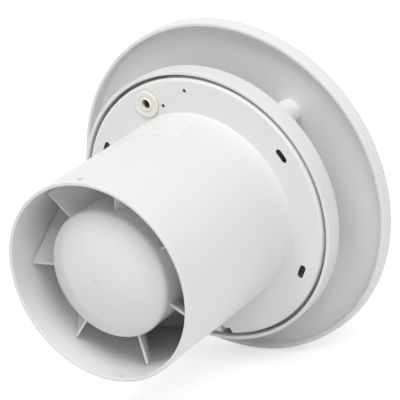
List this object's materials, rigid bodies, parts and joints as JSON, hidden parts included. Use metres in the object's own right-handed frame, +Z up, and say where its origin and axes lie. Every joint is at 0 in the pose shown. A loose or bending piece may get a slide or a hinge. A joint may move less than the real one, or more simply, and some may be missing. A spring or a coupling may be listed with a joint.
{
  "type": "bathroom exhaust fan",
  "caption": "Round wall extractor fan with a duct spigot, motor cup on helical vanes, axial impeller and a flat front panel that stands off the casing.",
  "frame": {"origin": "on the fan's axis, at the back plate's wall-side face", "axes": "+Y along the duct spigot into the wall, +Z up, the front panel faces -Y"},
  "size_m": [0.1742, 0.1226, 0.1742],
  "materials": {
    "white_body": "satin",
    "white_panel": "satin",
    "white_cup": "gloss",
    "white_impeller": "satin",
    "cream_rubber": "matte",
    "steel": "bright",
    "lamination": "bare",
    "copper": "enamelled wire",
    "bronze": "sintered",
    "zinc": "cast",
    "brass": "bright",
    "clear_nylon": "matte",
    "black_plastic": "matte",
    "black_steel": "blackened"
  },
  "bodies": {
    "fan_body": {"spigot_plate": "white_body", "front_casing": "white_body", "motor_cup": "white_cup", "stator_core": "lamination", "stator_coils": "copper", "front_bracket": "zinc", "rear_bracket": "zinc", "front_bearing": "bronze", "rear_bearing": "bronze", "motor_screws": "steel", "cable_grommet": "cream_rubber", "terminal_block": "clear_nylon", "terminal_clamps": "brass", "terminal_screws": "steel", "cable_clamp": "black_plastic", "clamp_screws": "black_steel", "casing_screw": "steel"},
    "rotor": {"impeller": "white_impeller", "impeller_clip": "steel", "motor_shaft": "steel", "rotor_core": "lamination", "thrust_washers": "clear_nylon"},
    "panel": {"front_panel": "white_panel", "standoff_posts": "white_panel"}
  },
  "joints": [
    {"name": "impeller_spin", "type": "hinge", "parent": "fan_body", "child": "rotor", "pos_m": [0, 0, 0], "axis": [0, 1, 0], "continuous": true},
    {"name": "panel_pull", "type": "slide", "parent": "fan_body", "child": "panel", "axis": [0, -1, 0], "range_m": [0, 0.03]}
  ]
}
